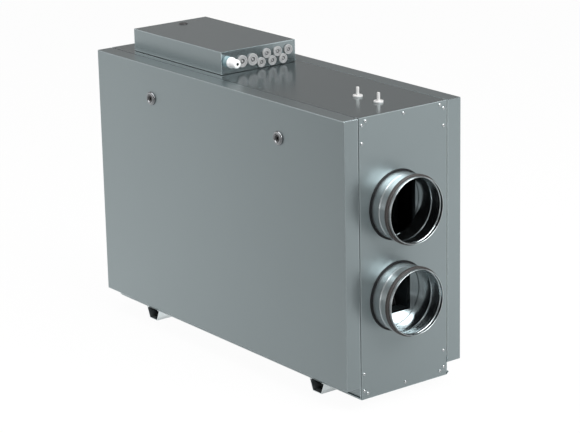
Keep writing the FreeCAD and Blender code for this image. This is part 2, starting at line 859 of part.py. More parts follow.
skin = door_skin()
core = door_core()
seal = door_seal()
housings = [lock_housing(side * lock_place) for side in (-1, 1)]
save("front_door_skin", skin)
save("front_door_core", core)
save("front_door_seal", seal)
save("front_lock_housings", *housings)
save("rear_door_skin", mirrored(skin, Y))
save("rear_door_core", mirrored(core, Y))
save("rear_door_seal", mirrored(seal, Y))
save("rear_lock_housings", *[mirrored(ring, Y) for ring in housings])
for side, name in ((-1, "left"), (1, "right")):
    insert = lock_core(side * lock_place)
    save("front_" + name + "_lock_core", insert)
    save("rear_" + name + "_lock_core", mirrored(insert, Y))

save("control_box_base", control_box_base())
save("control_box_lid", control_box_lid())
save("lid_plug", lid_plug())
save("small_glands", *[gland(*row) for row in small_gland_list()])
save("large_glands", *[gland(*row) for row in large_gland_list()])
save("white_gland", white_gland(*white_gland_list()[0]))
save("pressure_nipples", *[nipple(place) for place in nipple_places])
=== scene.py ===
# %% [markdown]
# # Air handling unit
# This lesson dresses a heat recovery air handling unit: an upright sheet-steel casing with a service
# door on each long side, two duct spigots on each end, a flat control box with cable glands on top and
# two rails underneath. The solid model gives every part its place. Here the round parts get their rolled
# and moulded shapes, the panels get their screws, and every surface gets its finish.

# %% Load the solid model
import math

import bpy
from mathutils import Matrix, Vector


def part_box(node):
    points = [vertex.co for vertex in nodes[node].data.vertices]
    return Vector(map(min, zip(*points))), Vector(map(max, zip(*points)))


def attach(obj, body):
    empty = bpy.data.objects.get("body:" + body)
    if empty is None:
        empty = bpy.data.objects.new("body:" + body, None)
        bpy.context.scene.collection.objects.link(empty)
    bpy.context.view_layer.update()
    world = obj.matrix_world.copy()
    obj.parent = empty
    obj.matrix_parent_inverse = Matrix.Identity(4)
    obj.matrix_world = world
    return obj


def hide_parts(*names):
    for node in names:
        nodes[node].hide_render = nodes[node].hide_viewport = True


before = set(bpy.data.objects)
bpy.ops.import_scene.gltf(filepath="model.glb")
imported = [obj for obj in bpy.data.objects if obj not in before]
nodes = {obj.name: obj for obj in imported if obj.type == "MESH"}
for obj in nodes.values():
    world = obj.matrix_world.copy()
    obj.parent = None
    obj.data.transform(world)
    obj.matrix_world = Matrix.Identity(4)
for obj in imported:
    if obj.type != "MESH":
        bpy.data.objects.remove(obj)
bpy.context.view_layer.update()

# %% [markdown]
# ## Camera
# The unit was photographed from a long way off with a long lens, a little from above and with its
# right-hand end turned towards the viewer. Yaw turns the camera about the vertical, pitch tips it down
# and roll leans it over. Multiplying three plain rotations is easier to follow than one set of angles.

# %% Camera
CAMERA_PLACE = (4.1963, -3.1300, 1.9023)
CAMERA_YAW = 52.82
CAMERA_PITCH = 16.7
CAMERA_ROLL = -1.19
CAMERA_LENS = 137.35

turn = (Matrix.Rotation(math.radians(CAMERA_YAW), 3, "Z")
        @ Matrix.Rotation(math.radians(90 - CAMERA_PITCH), 3, "X")
        @ Matrix.Rotation(math.radians(CAMERA_ROLL), 3, "Z"))
bpy.ops.object.select_all(action="DESELECT")
bpy.ops.object.camera_add(location=CAMERA_PLACE, rotation=turn.to_euler())
camera = bpy.context.object
camera.name = "camera"
camera.data.lens = CAMERA_LENS
camera.data.sensor_width = 36
bpy.context.scene.camera = camera
bpy.context.scene.view_settings.view_transform = "Standard"
print("camera", CAMERA_LENS, "mm lens")

# %% [markdown]
# ## Floor
# The floor is a plain pale sheet, far larger than the unit. A share of its light is its own wherever the
# camera, a reflection or a view through glass meets it, so that the background comes out white while the
# sheet still takes the unit's soft shadow and bounces no more light than a pale floor does. In a studio
# the floor is brightest behind the object and fades towards the viewer. The smooth doors show that fade,
# so the own light seen in reflections falls off along one direction of the floor.

# %% Floor
FLOOR_SIZE = 60
FLOOR_DROP = 0.0005
FLOOR_WHITE = (0.90, 0.90, 0.90, 1)
SEEN_OWN_LIGHT = 0.96
MIRRORED_OWN_LIGHT = 0.90
FADE_PER_METRE = (-0.33, 0.47, 0.0)
FADE_MIDDLE = 0.91
FADE_LOWEST = 0.40


def links_of(tree):
    """A short way to wire two sockets in a node tree."""
    return lambda source, target: tree.links.new(source, target)


def sums(tree, operation, first, second, third=None):
    """One sum on sockets or plain numbers."""
    node = tree.nodes.new("ShaderNodeMath")
    node.operation = operation
    for socket, value in zip(node.inputs, (first, second, third)):
        if isinstance(value, (int, float)):
            socket.default_value = value
        elif value:
            tree.links.new(value, socket)
    return node.outputs[0]


bpy.ops.object.select_all(action="DESELECT")
bpy.ops.mesh.primitive_grid_add(x_subdivisions=4, y_subdivisions=4, size=FLOOR_SIZE,
                                location=(0, 0, -FLOOR_DROP))
floor = bpy.context.object
floor.name = "floor"
bpy.ops.object.transform_apply(location=True)
floor_paint = bpy.data.materials.new("floor paint")
floor_paint.use_nodes = True
tree = floor_paint.node_tree
wire = links_of(tree)
paint = tree.nodes["Principled BSDF"]
paint.inputs["Base Color"].default_value = FLOOR_WHITE
paint.inputs["Roughness"].default_value = 0.9
paint.inputs["Specular IOR Level"].default_value = 0.0
path = tree.nodes.new("ShaderNodeLightPath")
seen = path.outputs["Is Camera Ray"]
mirrored = sums(tree, "MAXIMUM", path.outputs["Is Glossy Ray"], path.outputs["Is Transmission Ray"])
share = sums(tree, "MULTIPLY_ADD", seen, SEEN_OWN_LIGHT, sums(tree, "MULTIPLY", mirrored, MIRRORED_OWN_LIGHT))
along = tree.nodes.new("ShaderNodeVectorMath")
along.operation = "DOT_PRODUCT"
along.inputs[1].default_value = FADE_PER_METRE
wire(tree.nodes.new("ShaderNodeTexCoord").outputs["Object"], along.inputs[0])
faded = sums(tree, "MAXIMUM", sums(tree, "ADD", along.outputs["Value"], FADE_MIDDLE), FADE_LOWEST)
glow = tree.nodes.new("ShaderNodeEmission")
wire(sums(tree, "MINIMUM", sums(tree, "MAXIMUM", faded, seen), 1.0), glow.inputs["Strength"])
both = tree.nodes.new("ShaderNodeMixShader")
wire(share, both.inputs["Fac"])
wire(paint.outputs["BSDF"], both.inputs[1])
wire(glow.outputs["Emission"], both.inputs[2])
wire(both.outputs["Shader"], tree.nodes["Material Output"].inputs["Surface"])
floor.data.materials.append(floor_paint)
print("floor", FLOOR_SIZE, "m wide")

# %% [markdown]
# ## Studio light
# Smooth zinc-grey sheet shows the room as much as it shows its own colour, so the room matters. The world
# is a white band along the horizon that darkens to a dim ceiling, which keeps the top of the unit darker
# than its doors. Its left front is brighter than its right rear and holds a pale panel, so the long side
# of the control box stands out from its end plate. A broad soft lamp hangs overhead. A second one stands
# high on the right: it lights the glands and gives the duct spigots their one broad streak.

# %% World
ROOM_STOPS = ((0.52, 1.0), (0.57, 0.27), (0.68, 0.22), (0.85, 0.38), (1.0, 0.60))
ROOM_TINT = (1.0, 0.975, 0.97)
BRIGHT_SIDE = (-0.52, -0.66, 0.0)
DIMMEST_SIDE = 0.2
PANEL_WHITE = (0.78, 0.76, 0.755)
PANEL_BEGINS, PANEL_FULL = 0.55, 0.80

world = bpy.data.worlds.new("studio")
bpy.context.scene.world = world
world.use_nodes = True
tree = world.node_tree
wire = links_of(tree)
direction = tree.nodes.new("ShaderNodeTexCoord")
split = tree.nodes.new("ShaderNodeSeparateXYZ")
wire(direction.outputs["Generated"], split.inputs["Vector"])
height = tree.nodes.new("ShaderNodeMapRange")
height.inputs["From Min"].default_value = -1
wire(split.outputs["Z"], height.inputs["Value"])
room = tree.nodes.new("ShaderNodeValToRGB")
wire(height.outputs["Result"], room.inputs["Fac"])
ramp = room.color_ramp
ramp.elements[0].position = ROOM_STOPS[0][0]
ramp.elements[1].position = ROOM_STOPS[-1][0]
for place, _ in ROOM_STOPS[1:-1]:
    ramp.elements.new(place)
for element, (_, grey) in zip(ramp.elements, ROOM_STOPS):
    element.color = (*(grey * tint for tint in ROOM_TINT), 1)
facing = tree.nodes.new("ShaderNodeVectorMath")
facing.operation = "DOT_PRODUCT"
facing.inputs[1].default_value = BRIGHT_SIDE
wire(direction.outputs["Generated"], facing.inputs[0])
wire(sums(tree, "MAXIMUM", sums(tree, "ADD", facing.outputs["Value"], 1.0), DIMMEST_SIDE),
     tree.nodes["Background"].inputs["Strength"])
panel = tree.nodes.new("ShaderNodeMapRange")
panel.interpolation_type = "SMOOTHSTEP"
panel.inputs["From Min"].default_value = PANEL_BEGINS
panel.inputs["From Max"].default_value = PANEL_FULL
wire(facing.outputs["Value"], panel.inputs["Value"])
blend = tree.nodes.new("ShaderNodeMix")
blend.data_type = "RGBA"
wire(panel.outputs["Result"], blend.inputs["Factor"])
wire(room.outputs["Color"], blend.inputs[6])
blend.inputs[7].default_value = (*PANEL_WHITE, 1)
wire(blend.outputs[2], tree.nodes["Background"].inputs["Color"])
print("world with", len(ramp.elements), "greys")

# %% Lamps
LAMPS = (
    # name, place, looks at, width, height, watts
    ("overhead lamp", (0.4, -0.3, 3.2), (0.4, -0.3, 0.0), 3.6, 3.2, 80),
    ("right lamp", (2.45, 0.36, 1.86), (0.53, -0.02, 0.45), 1.9, 1.35, 78),
)
for name, place, target, width, tall, watts in LAMPS:
    bpy.ops.object.select_all(action="DESELECT")
    aim = (Vector(place) - Vector(target)).to_track_quat("Z", "Y").to_euler()
    bpy.ops.object.light_add(type="AREA", location=place, rotation=aim)
    lamp = bpy.context.object
    lamp.name = name
    lamp.data.shape = "RECTANGLE"
    lamp.data.size = width
    lamp.data.size_y = tall
    lamp.data.energy = watts
    print(name, watts, "W")

# %% [markdown]
# ## Finishes
# Every finish is built from the same few things: a colour that drifts slowly between two close shades, a
# fine grain that changes the roughness and lifts the surface by less than a tenth of a millimetre, and on
# metal a brighter edge, partly polished by handling and partly a painted highlight. The grain is a noise
# stretched along one direction, because sheet metal is rolled. A picture of metal would be quicker, but it
# blurs close up and shows seams, while a pattern on object coordinates is sharp at any distance.

# %% Helpers for colour and grain


def noise(tree, coordinates, scale, stretch=(1, 1, 1), detail=3.0):
    """A noise on object coordinates, squeezed along chosen axes."""
    mapping = tree.nodes.new("ShaderNodeMapping")
    mapping.inputs["Scale"].default_value = stretch
    tree.links.new(coordinates, mapping.inputs["Vector"])
    pattern = tree.nodes.new("ShaderNodeTexNoise")
    pattern.inputs["Scale"].default_value = scale
    pattern.inputs["Detail"].default_value = detail
    tree.links.new(mapping.outputs["Vector"], pattern.inputs["Vector"])
    return pattern.outputs["Fac"]


def spread(tree, value, low, high):
    """Stretch a noise, which stays near its middle, to run from low to high."""
    reach = tree.nodes.new("ShaderNodeMapRange")
    reach.inputs["From Min"].default_value = 0.3
    reach.inputs["From Max"].default_value = 0.7
    reach.inputs["To Min"].default_value = low
    reach.inputs["To Max"].default_value = high
    tree.links.new(value, reach.inputs["Value"])
    return reach.outputs["Result"]


def blend_colours(tree, factor, first, second):
    """Mix two colours; each is a tuple or another node's colour."""
    mix = tree.nodes.new("ShaderNodeMix")
    mix.data_type = "RGBA"
    tree.links.new(factor, mix.inputs["Factor"])
    for socket, colour in ((mix.inputs[6], first), (mix.inputs[7], second)):
        if isinstance(colour, tuple):
            socket.default_value = (*colour, 1)
        else:
            tree.links.new(colour, socket)
    return mix.outputs[2]


# %% [markdown]
# ### Edges and hollows
# Two masks tell the shader where a point lies. The Bevel node rounds the normal near an edge: where the
# rounded normal and the true one part, there is an edge, which gets a brighter colour for wear and a painted
# highlight. The Ambient Occlusion node tells how much of its surroundings a point sees, so it finds the depth
# of the open rails, which look black: the colour is darkened there as painted shade.

# %% Helpers for edges and hollows
FLAT_MATCH, EDGE_MATCH = 0.99, 0.80
HOLLOW_REACH = 0.06
HOLLOW_DEEP, HOLLOW_OPEN = 0.08, 0.26


# The edge mask carries both polish from handling and a painted highlight along bent edges.
def worn_and_highlit_edges(tree, reach):
    """How far a point lies within reach of an edge, from 0 on the flat to 1 on the edge."""
    rounding = tree.nodes.new("ShaderNodeBevel")
    rounding.samples = 4
    rounding.inputs["Radius"].default_value = reach
    surface = tree.nodes.new("ShaderNodeNewGeometry")
    compare = tree.nodes.new("ShaderNodeVectorMath")
    compare.operation = "DOT_PRODUCT"
    tree.links.new(rounding.outputs["Normal"], compare.inputs[0])
    tree.links.new(surface.outputs["Normal"], compare.inputs[1])
    edge = tree.nodes.new("ShaderNodeMapRange")
    edge.inputs["From Min"].default_value = FLAT_MATCH
    edge.inputs["From Max"].default_value = EDGE_MATCH
    tree.links.new(compare.outputs["Value"], edge.inputs["Value"])
    return edge.outputs["Result"]


# Painted shade: this mask darkens the colour deep in narrow hollows.
def openness(tree, reach):
    """From 0 deep in a narrow hollow, where no light gets in, to 1 in the open."""
    sheltered = tree.nodes.new("ShaderNodeAmbientOcclusion")
    sheltered.samples = 8
    sheltered.inputs["Distance"].default_value = reach
    scale = tree.nodes.new("ShaderNodeMapRange")
    scale.inputs["From Min"].default_value = HOLLOW_DEEP
    scale.inputs["From Max"].default_value = HOLLOW_OPEN
    tree.links.new(sheltered.outputs["AO"], scale.inputs["Value"])
    return scale.outputs["Result"]


# %% [markdown]
# ### One finish
# One helper wires the patterns and masks to a Principled shader, so each finish only names its own values.
# Rolled sheet can also be streaked: fine lines round a tube draw every highlight out along it. That is
# anisotropy, and the tangent tells it which way to draw.

# %% A helper for finishes
BUMP_STRENGTH = 0.3
finishes = {}


def finish(name, colour, second, roughness, metallic=0.0, grain=(1, 1, 1), grain_scale=300.0, lift=0.00002,
           drift=3.0, edge_colour=None, edge_reach=0.0015, swing=0.05, shine=0.5, hollow_shade_colour=None,
           streak=0.0):
    """Build one finish and keep it under its name."""
    made = bpy.data.materials.new(name)
    made.use_nodes = True
    tree = made.node_tree
    shader = tree.nodes["Principled BSDF"]
    place = tree.nodes.new("ShaderNodeTexCoord").outputs["Object"]
    slow = spread(tree, noise(tree, place, drift, detail=2.0), 0, 1)
    paint = blend_colours(tree, slow, colour, second)
    # Brighter edges: partly wear, partly a painted highlight of the bend.
    if edge_colour:
        paint = blend_colours(tree, worn_and_highlit_edges(tree, edge_reach), paint, edge_colour)
    # Painted shade: deep in a hollow the colour turns to the dark hollow colour.
    if hollow_shade_colour:
        paint = blend_colours(tree, openness(tree, HOLLOW_REACH), hollow_shade_colour, paint)
    tree.links.new(paint, shader.inputs["Base Color"])
    fine = noise(tree, place, grain_scale, grain)
    tree.links.new(spread(tree, fine, roughness - swing, roughness + swing), shader.inputs["Roughness"])
    bump = tree.nodes.new("ShaderNodeBump")
    bump.inputs["Strength"].default_value = BUMP_STRENGTH
    bump.inputs["Distance"].default_value = lift
    tree.links.new(fine, bump.inputs["Height"])
    tree.links.new(bump.outputs["Normal"], shader.inputs["Normal"])
    shader.inputs["Metallic"].default_value = metallic
    shader.inputs["Specular IOR Level"].default_value = shine
    if streak:
        along_tube = tree.nodes.new("ShaderNodeCombineXYZ")
        along_tube.inputs["X"].default_value = 1
        tree.links.new(along_tube.outputs["Vector"], shader.inputs["Tangent"])
        shader.inputs["Anisotropic"].default_value = streak
    finishes[name] = made


# %% [markdown]
# ### Metals
# All the outer sheets have one colour. They only differ in roughness and grain: the doors and ends blur what
# they mirror, the top and the box show it more sharply. Bright duct sheet, darker inner sheet, chrome and
# zinc-coated screws each have their own.

# %% Metal finishes
SHEET_COLOUR = (0.277, 0.323, 0.333)
SHEET_SECOND = (0.271, 0.316, 0.326)
# Pale blue-white edge colour: a painted highlight along the bent sheet edges, with a little wear.
SHEET_EDGE_HIGHLIGHT = (0.74, 0.85, 0.88)
ALONG_X = (0.02, 1, 1)
ALONG_Y = (1, 0.02, 1)
ALONG_Z = (1, 1, 0.02)
AROUND_X = (1, 0.02, 0.02)
for name, roughness, grain in (("door sheet", 0.30, ALONG_Z), ("end sheet", 0.39, ALONG_Z),
                               ("top sheet", 0.20, ALONG_X), ("lid sheet", 0.26, ALONG_X),
                               ("box sheet", 0.20, ALONG_Y)):
    finish(name, SHEET_COLOUR, SHEET_SECOND, roughness, 0.92, grain, 600, 0.000002,
           edge_colour=SHEET_EDGE_HIGHLIGHT, edge_reach=0.0024, swing=0.005)
# Rail colour is far paler than the other sheets, a painted reflection of the bright floor on its sides. Deep
# inside the open rails it turns near black as painted shade.
finish("rail sheet", (0.80, 0.86, 0.87), (0.76, 0.82, 0.83), 0.40, 0.92, ALONG_Y, 600, 0.000002, swing=0.005,
       hollow_shade_colour=(0.012, 0.013, 0.014))
finish("duct sheet", (0.53, 0.58, 0.595), (0.515, 0.565, 0.58), 0.22, 1.0, AROUND_X, 900, 0.000001,
       edge_colour=(0.62, 0.66, 0.67), swing=0.005, drift=25)
finish("duct outside", (0.56, 0.61, 0.625), (0.545, 0.595, 0.61), 0.30, 1.0, AROUND_X, 900, 0.000001,
       edge_colour=(0.62, 0.66, 0.67), swing=0.005, drift=25, streak=0.8)
finish("inner sheet", (0.42, 0.46, 0.47), (0.40, 0.44, 0.45), 0.24, 1.0, ALONG_Z, 900, 0.000001,
       edge_colour=(0.50, 0.54, 0.55), swing=0.01)
finish("chrome", (0.30, 0.31, 0.32), (0.27, 0.28, 0.29), 0.07, 1.0, (1, 1, 1), 900, 0.000002, swing=0.02)
finish("screw zinc", (0.70, 0.73, 0.74), (0.64, 0.67, 0.68), 0.14, 1.0, (1, 1, 1), 900, 0.000004)
finish("exchanger foil", (0.56, 0.58, 0.59), (0.50, 0.52, 0.53), 0.32, 1.0, (0.3, 60, 0.3), 6, 0.0004, drift=8)
finish("fan sheet", (0.050, 0.062, 0.068), (0.042, 0.052, 0.058), 0.35, 0.7, ALONG_X, 400, 0.00001,
       edge_colour=(0.12, 0.14, 0.15))
print(len(finishes), "metal finishes")

# %% [markdown]
# ### Rubber, plastic and cloth
# None of these is metal. Rubber is rough and nearly black, and the rear door seal is as rough with a paler grey
# that is painted light, so they get little shine. Moulded plastic is smoother and has no grain direction.

# %% Rubber, plastic and cloth finishes
finish("gasket rubber", (0.036, 0.032, 0.031), (0.029, 0.026, 0.025), 0.50, 0.0, AROUND_X, 900, 0.00003,
       swing=0.08, drift=20)
finish("black rubber", (0.005, 0.006, 0.007), (0.003, 0.004, 0.004), 0.75, 0.0, (1, 1, 1), 900, 0.00005,
       swing=0.08, shine=0.15)
finish("seal rubber", (0.004, 0.005, 0.006), (0.003, 0.004, 0.005), 0.50, 0.0, (1, 1, 1), 900, 0.00002,
       swing=0.04, drift=30, shine=0.25)
# The rear door seal is a paler grey than the black front seal so its gap reads faint: painted light.
finish("paler rear seal", (0.17, 0.19, 0.19), (0.14, 0.16, 0.16), 0.85, 0.0, (1, 1, 1), 1200, 0.0001,
       drift=30, shine=0.2)
finish("black plastic", (0.010, 0.010, 0.011), (0.007, 0.007, 0.008), 0.25, 0.0, (1, 1, 1), 700, 0.00001, drift=30)
finish("grey plastic", (0.33, 0.332, 0.335), (0.31, 0.312, 0.315), 0.42, 0.0, (1, 1, 1), 700, 0.00003, drift=40)
finish("grey insert", (0.10, 0.102, 0.105), (0.085, 0.087, 0.090), 0.55, 0.0, (1, 1, 1), 700, 0.00004, drift=40)
finish("white plastic", (0.88, 0.90, 0.90), (0.85, 0.87, 0.87), 0.22, 0.0, (1, 1, 1), 500, 0.00001, drift=40)
# Collar colour: white plastic in painted shade with a painted teal reflection.
finish("collar painted shade", (0.22, 0.33, 0.36), (0.20, 0.31, 0.34), 0.30, 0.0, (1, 1, 1), 500, 0.00001, drift=40)
finish("nipple plastic", (0.52, 0.52, 0.51), (0.48, 0.48, 0.48), 0.34, 0.0, (1, 1, 1), 500, 0.00002, drift=40)
finish("filter cloth", (0.022, 0.025, 0.027), (0.014, 0.016, 0.018), 0.90, 0.0, (0.2, 40, 0.2), 4, 0.003, drift=60)
finish("wheel plastic", (0.020, 0.022, 0.024), (0.014, 0.016, 0.018), 0.40, 0.0, (1, 1, 1), 300, 0.00003)
print(len(finishes), "finishes in all")

# %% [markdown]
# ## Dress the solid parts
# The folded sheets, the rails, the linings and the inner parts already have their true shape, so they
# keep it and only take a finish. Each finish lists its parts, which shows at a glance that none is left
# out.

# %% Give the solid parts their finishes
WEARS = {
    "door sheet": ("front_door_skin", "rear_door_skin"),
    "end sheet": ("right_end_panel", "left_end_panel", "right_corner_posts", "left_corner_posts", "base_tray"),
    "top sheet": ("top_panel",),
    "box sheet": ("control_box_base",),
    "lid sheet": ("control_box_lid",),
    "rail sheet": ("left_rail", "right_rail"),
    "duct sheet": ("right_upper_spigot", "right_lower_spigot", "left_upper_spigot", "left_lower_spigot"),
    "inner sheet": ("front_door_core", "rear_door_core", "right_end_lining", "left_end_lining", "top_lining",
                    "base_lining", "right_air_divider", "left_air_divider"),
    "gasket rubber": ("right_spigot_gaskets", "left_spigot_gaskets"),
    "seal rubber": ("right_spigot_seals", "left_spigot_seals"),
    # Both door seals are the same kind of seal. The rear one's paler grey is painted light.
    "black rubber": ("front_door_seal",),
    "paler rear seal": ("rear_door_seal",),
    "black plastic": ("front_left_lock_core", "front_right_lock_core", "rear_left_lock_core",
                      "rear_right_lock_core", "lid_plug"),
    "chrome": ("front_lock_housings", "rear_lock_housings"),
    "grey plastic": ("small_glands", "large_glands"),
    "white plastic": ("white_gland",),
    "nipple plastic": ("pressure_nipples",),
    "exchanger foil": ("heat_exchanger",),
    "filter cloth": ("right_filter", "left_filter"),
    "fan sheet": ("right_fan_housing", "left_fan_housing"),
    "wheel plastic": ("right_fan_wheel", "left_fan_wheel"),
}


def dress(piece, name):
    """Put one finish on every material slot of a piece."""
    if not piece.material_slots:
        piece.data.materials.append(None)
    for slot in piece.material_slots:
        slot.material = finishes[name]


for name, parts in WEARS.items():
    for part in parts:
        dress(nodes[part], name)
print(sum(len(parts) for parts in WEARS.values()), "of", len(nodes), "nodes dressed")

# %% [markdown]
# ## Turned pieces
# Spigots, gaskets, rings, glands and nipples are all round about one axis. The quickest true way is the
# lathe's: draw half of the section as an outline and spin it round. The outline starts as a tiny plane
# melted to a single point. Each next point is an extrusion of the last one. Rounded corners come from a
# few points on an arc.

# %% Helpers for turned pieces
MM = 0.001
DOT_SIZE = 0.002
MERGE_WITHIN = 0.00001


def nothing_selected():
    """Back in object mode with nothing selected."""
    if bpy.context.mode != "OBJECT":
        bpy.ops.object.mode_set(mode="OBJECT")
    bpy.ops.object.select_all(action="DESELECT")


def arc(along, radius, size, start, end, parts=6):
    """Points on an arc round (along, radius), from one angle to another in degrees."""
    angles = [math.radians(start + (end - start) * step / parts) for step in range(parts + 1)]
    return [(along + size * math.cos(angle), radius + size * math.sin(angle)) for angle in angles]


def swell(middle, half_width, radius, rise, parts=10):
    """A smooth pressed bead that rises from the radius and falls back to it."""
    steps = [2 * step / parts - 1 for step in range(parts + 1)]
    return [(middle + half_width * step, radius + rise * (1 + math.cos(math.pi * step)) / 2) for step in steps]


def turned(name, outline, centre, axis, side, steps=72):
    """Spin an outline of (along, radius) points, in millimetres, about an axis through the centre."""
    centre, axis, side = Vector(centre), Vector(axis), Vector(side)
    points = [centre + axis * along * MM + side * radius * MM for along, radius in outline]
    nothing_selected()
    bpy.ops.mesh.primitive_plane_add(size=DOT_SIZE, location=points[0])
    piece = bpy.context.object
    piece.name = piece.data.name = name
    bpy.ops.object.transform_apply(location=True)
    bpy.ops.object.mode_set(mode="EDIT")
    bpy.ops.mesh.select_mode(type="VERT")
    bpy.ops.mesh.select_all(action="SELECT")
    bpy.ops.mesh.merge(type="CENTER")
    for before, after in zip(points, points[1:]):
        bpy.ops.mesh.extrude_vertices_move(TRANSFORM_OT_translate={"value": after - before})
    bpy.ops.mesh.select_all(action="SELECT")
    bpy.ops.mesh.spin(steps=steps, angle=2 * math.pi, center=centre, axis=axis)
    bpy.ops.mesh.select_all(action="SELECT")
    bpy.ops.mesh.remove_doubles(threshold=MERGE_WITHIN)
    bpy.ops.mesh.normals_make_consistent(inside=False)
    nothing_selected()
    return piece


# %% [markdown]
# ### Shading, copies and joins
# An operator works on whatever is selected, so each helper first selects its own piece. A copy gets its own
# mesh and is moved or mirrored in edit mode, which keeps its object at the origin. A mirror turns the faces
# inside out, so they are flipped back.

# %% Helpers for shading, copies and joins


def only(piece):
    """Select one piece and make it the active one."""
    nothing_selected()
    piece.select_set(True)
    bpy.context.view_layer.objects.active = piece


def smooth(piece, angle=38):
    """Shade smoothly, apart from edges sharper than the angle."""
    only(piece)
    bpy.ops.object.shade_smooth_by_angle(angle=math.radians(angle))


def moved_copy(piece, name, shift=(0, 0, 0), mirror=(1, 1, 1)):
    """Copy a piece with its own mesh, moved or mirrored through the origin's planes."""
    only(piece)
    bpy.ops.object.duplicate(linked=False)
    copy = bpy.context.object
    copy.name = copy.data.name = name
    bpy.ops.object.mode_set(mode="EDIT")
    bpy.ops.mesh.select_all(action="SELECT")
    if mirror != (1, 1, 1):
        bpy.ops.transform.resize(value=mirror, center_override=(0, 0, 0))
        bpy.ops.mesh.flip_normals()
    bpy.ops.transform.translate(value=shift)
    nothing_selected()
    return copy


def joined(pieces, name):
    """Several pieces as one object."""
    nothing_selected()
    for piece in pieces:
        piece.select_set(True)
    bpy.context.view_layer.objects.active = pieces[0]
    bpy.ops.object.join()
    whole = bpy.context.object
    whole.name = whole.data.name = name
    return whole


# %% [markdown]
# ### Hand a piece over
# Every finished piece says which body it moves with, which solid parts it stands for and which of the part's
# materials it is made of. Its volume is printed too: a piece that came out inside out shows a minus.

# %% Helpers that finish a piece
CUBIC_CM = 1e6


def volume(piece):
    """Signed volume of a closed mesh in cubic centimetres; negative means it is inside out."""
    mesh = piece.data
    mesh.calc_loop_triangles()
    total = 0.0
    for triangle in mesh.loop_triangles:
        a, b, c = (mesh.vertices[i].co for i in triangle.vertices)
        total += a.dot(b.cross(c)) / 6
    return total * CUBIC_CM


def done(piece, body, name, stands_for=()):
    """Finish a piece: its look, the body it moves with and the solids it stands for."""
    if not piece.material_slots:
        dress(piece, name)
    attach(piece, body)
    if stands_for:
        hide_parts(*stands_for)
    print(piece.name, len(piece.data.polygons), "faces,", round(volume(piece), 2), "cm3")


# %% [markdown]
# ## Duct spigots
# A spigot is rolled from 1 mm zinc-coated sheet. It has a stop bead that halts the duct, a groove that
# holds the gasket and an edge curled inwards so that it cuts nobody. The sheet is drawn as a single line
# with its pressed shapes, spun into a surface and then given its thickness by the Solidify modifier,
# because that keeps the wall even round every bend. The same modifier gives the inner wall the second
# finish: rolling has streaked the outside, and the inside is plain.

# %% Duct spigots
TUBE = 78.5
STUB = 14.0
SHEET = 0.8
BEAD_AT, BEAD_HALF_WIDTH, BEAD_RISE = 27.7, 3.4, 1.5
GROOVE_FROM, GROOVE_TO, GROOVE_DEPTH = 50.0, 60.0, 1.8
CURL = 0.8
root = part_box("right_end_panel")[1].x
spigot_centres = {}
for level in ("upper", "lower"):
    low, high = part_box("right_%s_spigot" % level)
    spigot_centres[level] = Vector((root, (low.y + high.y) / 2, (low.z + high.z) / 2))
end_of_tube = (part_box("right_upper_spigot")[1].x - root) / MM

tube_line = [(-STUB, TUBE), (0.0, TUBE)]
tube_line += swell(BEAD_AT, BEAD_HALF_WIDTH, TUBE, BEAD_RISE)
tube_line += [(GROOVE_FROM - 1.0, TUBE), *arc(GROOVE_FROM - 0.2, TUBE - 1.0, 1.0, 90, 0, 3)]
tube_line += arc(GROOVE_FROM + 1.6, TUBE - GROOVE_DEPTH + 0.6, 0.6, 180, 270, 3)
tube_line += arc(GROOVE_TO - 1.6, TUBE - GROOVE_DEPTH + 0.6, 0.6, 270, 360, 3)
tube_line += arc(GROOVE_TO + 0.4, TUBE - 1.0, 1.0, 180, 90, 3)
tube_line += arc(end_of_tube - CURL, TUBE - CURL, CURL, 90, -120, 14)


def spigot_tube(name, centre):
    """One rolled tube, streaked outside and plain inside."""
    tube = turned(name, tube_line, centre, (1, 0, 0), (0, 0, 1), 96)
    only(tube)
    for look in ("duct outside", "duct sheet"):
        tube.data.materials.append(finishes[look])
    wall = tube.modifiers.new("sheet thickness", "SOLIDIFY")
    wall.material_offset = 1
    wall.material_offset_rim = 1
    wall.thickness = SHEET * MM
    wall.offset = -1
    wall.use_even_offset = True
    bpy.ops.object.modifier_apply(modifier=wall.name)
    smooth(tube)
    return tube


for level, centre in spigot_centres.items():
    right = spigot_tube("right_%s_tube" % level, centre)
    left = moved_copy(right, "left_%s_tube" % level, mirror=(-1, 1, 1))
    done(right, "casing", "duct sheet", ["right_%s_spigot" % level])
    done(left, "casing", "duct sheet", ["left_%s_spigot" % level])

# %% [markdown]
# ## Gaskets and root seals
# The gasket is a rubber band with two low lips that the duct squeezes. The root seal is a soft black ring
# that closes the gap where the tube leaves the panel. Both are closed outlines, so the spin makes a solid
# ring at once.

# %% Gaskets and root seals
LIP = 82.5
gasket_line = [(50.4, 76.8), (59.6, 76.8), (59.6, 80.2), *arc(57.4, LIP - 2.2, 2.2, 0, 90, 5),
               (56.6, LIP), (56.3, LIP - 0.45), (55.9, LIP), (54.1, LIP), (53.7, LIP - 0.45), (53.4, LIP),
               *arc(52.6, LIP - 2.2, 2.2, 90, 180, 5), (50.4, 80.2), (50.4, 76.8)]
seal_line = [(0.0, 78.6), (0.0, 83.6), *arc(0.4, 81.4, 2.2, 90, 5, 7), (2.9, 80.0), (2.9, 78.6), (0.0, 78.6)]
for kind, line, look in (("gaskets", gasket_line, "gasket rubber"), ("seals", seal_line, "seal rubber")):
    rings = [turned("ring", line, centre, (1, 0, 0), (0, 0, 1), 96) for centre in spigot_centres.values()]
    right = joined(rings, "right_duct_" + kind)
    smooth(right)
    left = moved_copy(right, "left_duct_" + kind, mirror=(-1, 1, 1))
    for end, ring in (("right", right), ("left", left)):
        done(ring, "casing", look, ["%s_spigot_%s" % (end, kind)])

# %% [markdown]
# ## Lock rings
# Each quarter-turn lock shows as a domed chrome ring round a black insert. The dome is an arc in the
# outline. The barrel behind it goes through the door.

